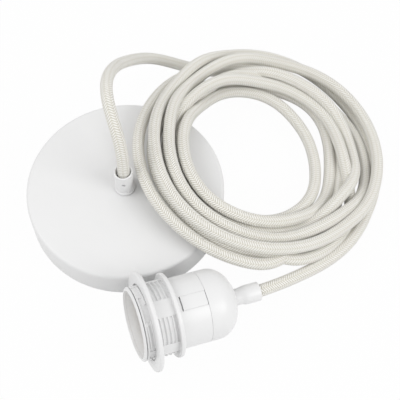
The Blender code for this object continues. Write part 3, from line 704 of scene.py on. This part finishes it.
def rod(radius, depth, place):
    """A closed round bmesh, in millimetres."""
    bm = bmesh.new()
    bmesh.ops.create_cone(
        bm, cap_ends=True, segments=24, radius1=radius * MM, radius2=radius * MM, depth=depth * MM
    )
    bm.transform(place)
    return bm


def block(size, place):
    """A closed bmesh with flat sides, in millimetres."""
    bm = bmesh.new()
    bmesh.ops.create_cube(bm, size=1)
    bmesh.ops.scale(bm, vec=Vector(size) * MM, verts=bm.verts)
    bm.transform(place)
    return bm


GRIP_BORE = 4
GRIP_STEM = 4.85
GRIP_SLEEVE = 5.6
GRIP_MOUTH = 4.75
GRIP_FLARE = 2.25  # how deep the mouth's flare goes
PINCH_HOLE = 1.15
ROSE_GRIP_END = 40.8

rose_grip = turned(
    "rose_cord_grip",
    (
        (GRIP_BORE, 11.9),
        (GRIP_STEM, 11.9, 0.2),
        (GRIP_STEM, 21.8),
        (6.3, 21.8, 0.15),
        (6.3, 23.6, 0.45),
        (GRIP_SLEEVE, 23.6),
        (GRIP_SLEEVE, ROSE_GRIP_END, 0.45),
        (GRIP_MOUTH, ROSE_GRIP_END, 0.15),
        (GRIP_BORE, ROSE_GRIP_END - GRIP_FLARE),
    ),
    plastic,
    ["rose_grip"],
    steps=64,
)
cut(rose_grip, rod(PINCH_HOLE, 2 * GRIP_SLEEVE, facing((0, -1, 0), (0, -GRIP_SLEEVE, 33.3))))

holder_grip = turned(
    "holder_cord_grip",
    (
        (GRIP_BORE, 52.8),
        (GRIP_STEM, 52.8, 0.2),
        (GRIP_STEM, 63.8, 1.2),
        (GRIP_SLEEVE, 66.4, 1.2),
        (GRIP_SLEEVE, GRIP_END, 0.45),
        (GRIP_MOUTH, GRIP_END, 0.15),
        (GRIP_BORE, GRIP_END - GRIP_FLARE),
    ),
    plastic,
    ["holder_grip"],
    holder,
    steps=64,
)
pinch = holder @ facing((-1, 0, 0), (-GRIP_SLEEVE, 0, 70.4))
cut(holder_grip, rod(PINCH_HOLE, 2 * GRIP_SLEEVE, pinch))
print("grips: 2")

# %% [markdown]
# ## The lamp holder
#
# From the mouth backwards: the liner's bevelled collar, a thin dark joint, the skirt with its
# outer thread, a fixed flange, the plain body with the safety latch, and the domed cap.

# %% Liner and skirt
LINER_RADIUS = 18.9

turned(
    "liner",
    (
        (19.4, 0, 0.1),
        (20.9, 0.4, 0.5),
        (21.4, 1.25, 0.1),
        (LINER_RADIUS, 1.25),
        (LINER_RADIUS, 2.4),
        (18.6, 4.6),
        (18.6, 31),
        (17.8, 31),
        (17.8, 5.2, 1),
    ),
    plastic,
    ["holder_liner"],
    holder,
)

SKIRT_FRONT = 21
SKIRT_ROOT = 20.4
BODY_RADIUS = 20.3
SEAM = 39.6  # where the skirt ends and the cap begins

skirt = turned(
    "skirt",
    (
        (LINER_RADIUS, 5.2),
        (19.7, 4),
        (19.7, 1.8),
        (SKIRT_FRONT, 1.8, 0.1),
        (SKIRT_FRONT, 6.4, 0.2),
        (SKIRT_ROOT, 6.4),
        (SKIRT_ROOT, 20),
        (24.3, 20, 0.6),
        (24.3, 22.4, 0.6),
        (BODY_RADIUS, 22.4),
        (BODY_RADIUS, SEAM, 0.1),
        (LINER_RADIUS, SEAM),
    ),
    plastic,
    ["holder_skirt"],
    holder,
    steps=128,
)

# %% [markdown]
# The latch is a springy tongue cut into the skirt: a through slot at its front, one at the joint
# with the cap, and two faint lines along its sides. The skirt's front has shallow pockets with
# ribs between them, and one narrow slot. A pocket is a rectangle spun through part of a turn,
# which makes a closed sector, and it is cut out of the skirt.


# %% The safety latch and the pockets
def part_turn(outline, start, angle, steps, climb=0.0):
    """A closed bmesh: a flat outline in millimetres, spun from start through part of a turn."""
    bm = bmesh.new()
    face = bm.faces.new([bm.verts.new((r * MM, 0, s * MM)) for r, s in outline])
    bm.transform(Matrix.Rotation(start, 4, "Z"))
    bmesh.ops.spin(
        bm,
        geom=[face, *face.edges, *face.verts],
        cent=(0, 0, 0),
        axis=(0, 0, 1),
        angle=angle,
        dvec=(0, 0, climb / steps * MM),
        steps=steps,
    )
    bmesh.ops.recalc_face_normals(bm, faces=bm.faces)
    return bm


def sector(inner, outer, low, high, first, last):
    """The part of a ring between two angles, in millimetres and degrees."""
    outline = ((inner, low), (outer, low), (outer, high), (inner, high))
    return part_turn(outline, math.radians(first), math.radians(last - first), 12)


def on_skirt(angle, reach, across, station):
    """A place on the holder: an angle about its axis, then millimetres outwards and along."""
    move = Matrix.Translation(Vector((reach, across, station)) * MM)
    return holder @ Matrix.Rotation(angle, 4, "Z") @ move


LATCH_AT = math.radians(8.5)
LATCH_WIDTH = 8.4
LATCH_FRONT = 24.75
LATCH_LENGTH = 14.6
SLOT_AT = math.radians(-48)
POCKET_DEPTH = 0.6
POCKETS = ((-18, 24), (28, 73), (77, 120), (124, 165), (170, 212), (217, 258))

cut(
    skirt,
    block((8, LATCH_WIDTH, 0.8), on_skirt(LATCH_AT, BODY_RADIUS, 0, LATCH_FRONT)),
    block((8, LATCH_WIDTH, 0.5), on_skirt(LATCH_AT, BODY_RADIUS, 0, SEAM)),
    *(block((0.9, 0.35, LATCH_LENGTH), on_skirt(LATCH_AT, 20.1, side, 32)) for side in (-4.1, 4.1)),
    block((2, 0.55, 3.6), on_skirt(SLOT_AT, SKIRT_FRONT, 0, 3.6)),
)
for first, last in POCKETS:
    pocket = sector(SKIRT_FRONT - POCKET_DEPTH, SKIRT_FRONT + 1, 2.9, 6.8, first, last)
    pocket.transform(holder)
    cut(skirt, pocket)
print("skirt after cutting:", len(skirt.data.polygons), "faces")

# %% [markdown]
# The outer thread is not one unbroken ridge: five lands interrupt it, so that the mould can
# open. Each stretch of ridge is a small profile spun through part of a turn while it climbs,
# which the spin operator does by itself with a shift for each step. Each land is a sector, a
# little lower than the ridges.

# %% The interrupted outer thread
THREAD_PITCH = 2.4
THREAD_TURNS = 7
THREAD_START = 2.6
THREAD_END = 20.4
THREAD_CREST = 21.45
THREAD_FOOT = SKIRT_ROOT - 0.4  # a little inside the skirt, so that no gap shows
LANDS = 5
LAND_SHARE = 0.38
LAND_RADIUS = 21.15
STRETCH_STEPS = 14

outer_thread_parts = bmesh.new()
sweep = math.tau / LANDS * (1 - LAND_SHARE)


def add_to_thread(bm):
    mesh = bpy.data.meshes.new("stretch")
    bm.to_mesh(mesh)
    bm.free()
    outer_thread_parts.from_mesh(mesh)
    bpy.data.meshes.remove(mesh)


for turn in range(THREAD_TURNS):
    for number in range(LANDS):
        start = LATCH_AT + math.tau * (number + LAND_SHARE / 2) / LANDS
        low = THREAD_START + THREAD_PITCH * (turn + start / math.tau)
        if low + THREAD_PITCH > THREAD_END:
            continue
        profile = (
            (THREAD_FOOT, low),
            (SKIRT_ROOT, low),
            (THREAD_CREST, low + 0.6),
            (THREAD_CREST, low + 1.1),
            (SKIRT_ROOT, low + 1.5),
            (THREAD_FOOT, low + 1.5),
        )
        climb = THREAD_PITCH * sweep / math.tau
        add_to_thread(part_turn(profile, start, sweep, STRETCH_STEPS, climb))
for number in range(LANDS):
    land = math.degrees(LATCH_AT) + 360 / LANDS * number
    half = 180 / LANDS * LAND_SHARE
    add_to_thread(sector(THREAD_FOOT, LAND_RADIUS, 6.5, 20.1, land - half, land + half))
outer_thread = link("outer_thread", to_mesh(outer_thread_parts, "outer_thread", holder), plastic)
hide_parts("holder_skirt")
print("thread:", len(outer_thread.data.polygons), "faces")

# %% [markdown]
# The cap's dome is nearly a half sphere, a little squarer at its shoulder. Its outline is a
# short run of points on such a curve, and the spin does the rest. The shade ring is the one
# piece that moves, so it rides on its own body.

# %% Cap and shade ring
DOME_START = 45.3
DOME_LENGTH = 15
DOME_POWER = 2.2
CAP_INSIDE = 17.2
CAP_FRONT = SEAM + 0.12  # a hairline behind the skirt


def dome(radius, length, end_radius, count):
    """Corners from the dome's widest circle to where its outline meets end_radius."""
    last = math.acos(end_radius / radius)
    angles = [last * i / count for i in range(count + 1)]
    return [
        (radius * math.cos(t), DOME_START + length * math.sin(t) ** (2 / DOME_POWER)) for t in angles
    ]


outside = dome(BODY_RADIUS, DOME_LENGTH, 5.2, 24)
inside = dome(CAP_INSIDE, DOME_LENGTH - 1.7, 8.3, 12)
turned(
    "cap",
    (
        (BODY_RADIUS, CAP_FRONT, 0.1),
        *outside,
        (5.2, inside[-1][1]),
        *reversed(inside),
        (CAP_INSIDE, 35),
        (18.6, 35),
        (18.6, CAP_FRONT),
    ),
    plastic,
    ["holder_cap"],
    holder,
    steps=128,
)

RING_BORE = 21.9
front = RING_STATION - RING_THICKNESS / 2
back = RING_STATION + RING_THICKNESS / 2
turned(
    "clamp_ring",
    (
        (RING_BORE, front, 0.3),
        (RING_RADIUS, front, 0.9),
        (RING_RADIUS, back, 0.9),
        (RING_BORE, back, 0.3),
    ),
    plastic,
    ["shade_ring"],
    holder,
    "ring",
    steps=144,
)

# %% [markdown]
# ## Inside the holder
#
# Looking into the mouth, there is a ceramic insert that carries the brass screw shell and the
# centre contact. The shell is thin sheet with the bulb's thread pressed into it. It is a plain
# sleeve whose radius is moved in and out in a wave that climbs one pitch in each turn.

# %% Insert, screw shell and contact
turned(
    "insert",
    (
        (14.5, 14, 0.4),
        (17.4, 14, 0.7),
        (17.4, 34, 0.6),
        (2.2, 34),
        (2.2, 30),
        (14.5, 30),
    ),
    ceramic,
    ["holder_insert"],
    holder,
)

SHELL_RADIUS = 13.5
SHELL_WAVE = 0.6
SHELL_PITCH = 3.62
SHELL_FRONT = 14.6
SHELL_FLOOR = 29.4
SHELL_FLOOR_HOLE = 6
WAVE_END = 29
WAVE_FADE = 1.5  # millimetres in which the thread runs out at each end

shell = bmesh.new()
lines = [shell.verts.new((SHELL_RADIUS * MM, 0, (SHELL_FRONT + 0.25 * i) * MM)) for i in range(60)]
lines.append(shell.verts.new((SHELL_FLOOR_HOLE * MM, 0, SHELL_FLOOR * MM)))
for a, b in zip(lines, lines[1:]):
    shell.edges.new((a, b))
bmesh.ops.spin(
    shell,
    geom=shell.verts[:] + shell.edges[:],
    cent=(0, 0, 0),
    axis=(0, 0, 1),
    angle=math.tau,
    steps=72,
    use_merge=True,
)
for vert in shell.verts:
    station = vert.co.z / MM
    from_end = min(station - SHELL_FRONT, WAVE_END - station)
    fade = min(1, max(0, from_end / WAVE_FADE))
    if math.hypot(vert.co.x, vert.co.y) > (SHELL_RADIUS + SHELL_FLOOR_HOLE) / 2 * MM:
        angle = math.atan2(vert.co.y, vert.co.x)
        wave = math.cos(math.tau * station / SHELL_PITCH - angle)
        share = 1 + SHELL_WAVE * wave * fade / SHELL_RADIUS
        vert.co.x *= share
        vert.co.y *= share
bmesh.ops.recalc_face_normals(shell, faces=shell.faces)
bmesh.ops.solidify(shell, geom=shell.faces[:], thickness=0.35 * MM)
screw_shell = link("bulb_thread", to_mesh(shell, "bulb_thread", holder), brass)
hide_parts("screw_shell")
turned(
    "contact",
    (
        (0, 27.5),
        (3, 27.6, 0.3),
        (4.4, 28.6, 0.4),
        (4.4, 29.7),
        (1.8, 29.7),
        (1.8, 34),
        (0, 34),
    ),
    brass,
    ["centre_contact"],
    holder,
    steps=48,
)
print("shell:", len(screw_shell.data.polygons), "faces")

# %% [markdown]
# ## Slotted screws
#
# The cup's side screws and the earth screw have domed heads with a slot for a screwdriver. Each
# is an outline that starts and ends on its own axis, spun, with a block cut out for the slot. The
# strap is turned 20 degrees in the cup, and its screws with it.


# %% Side screws and earth screw
HEAD_RADIUS = 3
SLOT = (0.9, 8, 1.8)


def slotted(name, base, top, shank, length, finish, place):
    """A screw whose head stands from base to top, with its shank below the base."""
    corners = (
        (0, base - length),
        (shank, base - length, 0.3),
        (shank, base),
        (HEAD_RADIUS, base, 0.15),
        (HEAD_RADIUS, top, 1.1),
        (0, top),
    )
    screw = link(name + "_slotted", to_mesh(spun(corners, 40, closed=False), name, place), finish)
    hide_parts(name)
    cut(screw, block(SLOT, place @ Matrix.Translation((0, 0, top * MM))))


strap = Matrix.Rotation(math.radians(-20), 4, "Z")
SIDE_SCREW_HEIGHT = 8
HEAD_REACH = ROSE_RADIUS + 0.3  # where a side screw's head starts
EARTH_SCREW_REACH = -18

for number, side in enumerate((1, -1), start=1):
    place = strap @ facing((side, 0, 0), (side * HEAD_REACH, 0, SIDE_SCREW_HEIGHT))
    slotted(f"rose_side_screw_{number}", 0, 1.8, 1.6, 6, steel, place)
place = strap @ Matrix.Translation((EARTH_SCREW_REACH * MM, 0, 0))
slotted("rose_earth_screw", 1.8, 4.2, 1.5, 1.5, brass, place)
print("slotted screws: 3")

# %% [markdown]
# ## Materials for the solids that stay
#
# The strap, the nuts, the washer, the terminals with their block and screws, the grips' screws
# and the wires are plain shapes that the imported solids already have, and most are out of sight.
# So they stay and only get their surfaces.

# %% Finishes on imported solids
STAYING = {
    zinc: ("rose_strap", "rose_washer", "rose_nut", "holder_nut"),
    steel: (
        "rose_grip_screw",
        "holder_grip_screw",
        "rose_terminal_screw_1",
        "rose_terminal_screw_2",
        "rose_terminal_screw_3",
        "holder_terminal_screw_live",
        "holder_terminal_screw_neutral",
    ),
    brass: (
        "rose_terminal_1",
        "rose_terminal_2",
        "rose_terminal_3",
        "holder_terminal_live",
        "holder_terminal_neutral",
    ),
    nylon: ("rose_terminal_block",),
    brown_core: ("rose_wire_live", "holder_wire_live"),
    blue_core: ("rose_wire_neutral", "holder_wire_neutral"),
    earth_core: ("rose_wire_earth",),
}
for finish, names in STAYING.items():
    for name in names:
        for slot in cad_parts[name].material_slots:
            slot.material = finish.material
print("solids with finishes:", sum(len(names) for names in STAYING.values()))

# %% [markdown]
# ## Table
#
# The table is a wide plane. To the camera, and in reflections, nearly all of its colour is plain
# white light, so that the background stays white while a trace of the soft shadow still shows.

# %% Table
TABLE_REACH = 4  # metres from its middle to a side
WHITE_SHARE = 0.97

table = bmesh.new()
bmesh.ops.create_grid(table, x_segments=1, y_segments=1, size=TABLE_REACH)
floor_finish = Finish("white table", None, (0.74, 0.74, 0.74), 0.7)
paths = floor_finish.node("ShaderNodeLightPath")
seen = Value(floor_finish, paths.outputs["Is Camera Ray"])
seen = seen.math("MAXIMUM", Value(floor_finish, paths.outputs["Is Glossy Ray"]))
seen = seen.math("MAXIMUM", Value(floor_finish, paths.outputs["Is Transmission Ray"]))
glow = floor_finish.node("ShaderNodeEmission", None, {"Color": (1, 1, 1, 1), "Strength": 1.0})
blend = floor_finish.node(
    "ShaderNodeMixShader",
    None,
    {0: seen * WHITE_SHARE, 1: floor_finish.shader.outputs[0], 2: glow.outputs[0]},
)
output = floor_finish.tree.nodes["Material Output"]
floor_finish.feed(output, {"Surface": blend.outputs[0]})
floor = bpy.data.objects.new("table", to_mesh(table, "table"))
floor.data.materials.append(floor_finish.material)
bpy.context.collection.objects.link(floor)
print("table made")

# %% [markdown]
# ## Lamps and background
#
# Most of the light is even and comes from all round, as in a white studio, and where nothing
# stands the camera sees white. A large key lamp on the right gives the round pieces their
# shading, and a fill lamp on the left keeps the other sides from going grey. Both aim at the
# middle of the object, and they are large so that shadows are soft.

# %% Lamps and world
AMBIENT = 0.76
LAMP_AIM = Vector((0.04, 0, 0))

world = bpy.data.worlds.new("studio")
bpy.context.scene.world = world
world.use_nodes = True
nodes = world.node_tree.nodes
links = world.node_tree.links
ambient = nodes["Background"]
ambient.inputs["Color"].default_value = (1, 1, 1, 1)
ambient.inputs["Strength"].default_value = AMBIENT
plain = nodes.new("ShaderNodeBackground")
plain.inputs["Color"].default_value = (1, 1, 1, 1)
plain.inputs["Strength"].default_value = 1.0
rays = nodes.new("ShaderNodeLightPath")
mix = nodes.new("ShaderNodeMixShader")
links.new(rays.outputs["Is Camera Ray"], mix.inputs[0])
links.new(ambient.outputs[0], mix.inputs[1])
links.new(plain.outputs[0], mix.inputs[2])
links.new(mix.outputs[0], nodes["World Output"].inputs["Surface"])


def lamp(name, place, size, power):
    """A square lamp, in metres and watts."""
    data = bpy.data.lights.new(name, "AREA")
    data.shape = "SQUARE"
    data.size = size
    data.energy = power
    obj = bpy.data.objects.new(name, data)
    obj.location = place
    obj.rotation_euler = (LAMP_AIM - Vector(place)).to_track_quat("-Z", "Y").to_euler()
    bpy.context.collection.objects.link(obj)


lamp("key", (0.95, -0.5, 0.8), 0.7, 5)
lamp("fill", (-0.8, -0.1, 0.95), 0.8, 4)
print("lamps made")
